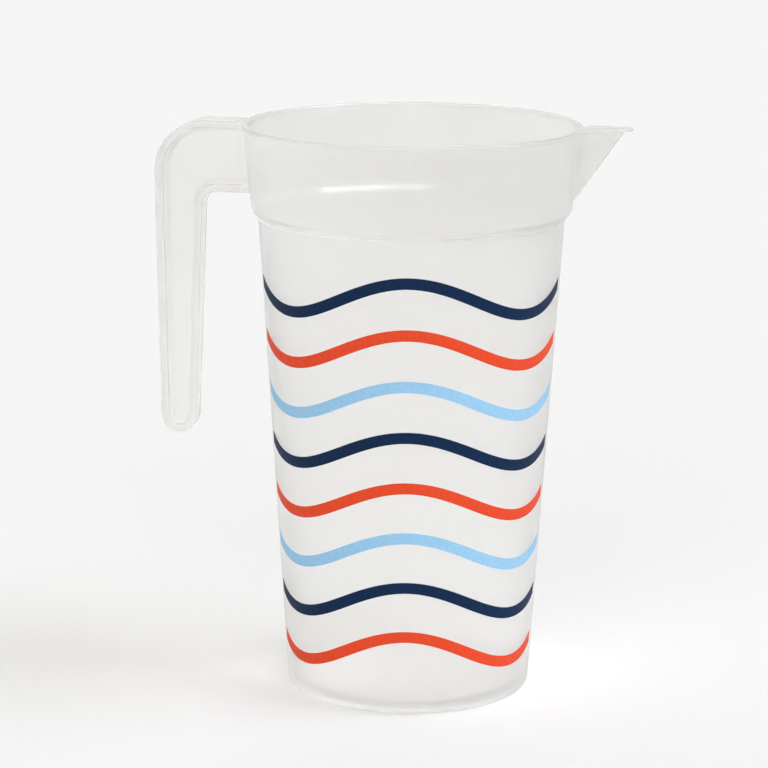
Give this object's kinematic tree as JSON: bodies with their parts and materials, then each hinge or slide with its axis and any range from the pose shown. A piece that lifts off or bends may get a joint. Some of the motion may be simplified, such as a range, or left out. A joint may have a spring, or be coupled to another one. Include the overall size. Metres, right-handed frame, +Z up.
{
  "type": "pitcher",
  "caption": "Tall tapered stacking pitcher of translucent plastic with a wide collar, a beak spout, an open-ended ribbed handle and printed wave stripes.",
  "frame": {"origin": "on the standing plane, under the middle of the bounding box", "axes": "+Z up, +X towards the spout, -X towards the handle, -Y towards the printed front"},
  "size_m": [0.1778, 0.1254, 0.214],
  "materials": {
    "natural_plastic": "translucent natural polypropylene, satin",
    "ink_navy": "printed ink, dark navy",
    "ink_orange": "printed ink, orange red",
    "ink_light_blue": "printed ink, light blue"
  },
  "bodies": {
    "root": {"foot_ring": "natural_plastic", "floor": "natural_plastic", "body_wall": "natural_plastic", "collar": "natural_plastic", "rim_bead": "natural_plastic", "spout": "natural_plastic", "handle": "natural_plastic", "print_stripe_1": "ink_navy", "print_stripe_2": "ink_orange", "print_stripe_3": "ink_light_blue", "print_stripe_4": "ink_navy", "print_stripe_5": "ink_orange", "print_stripe_6": "ink_light_blue", "print_stripe_7": "ink_navy", "print_stripe_8": "ink_orange"}
  },
  "joints": []
}
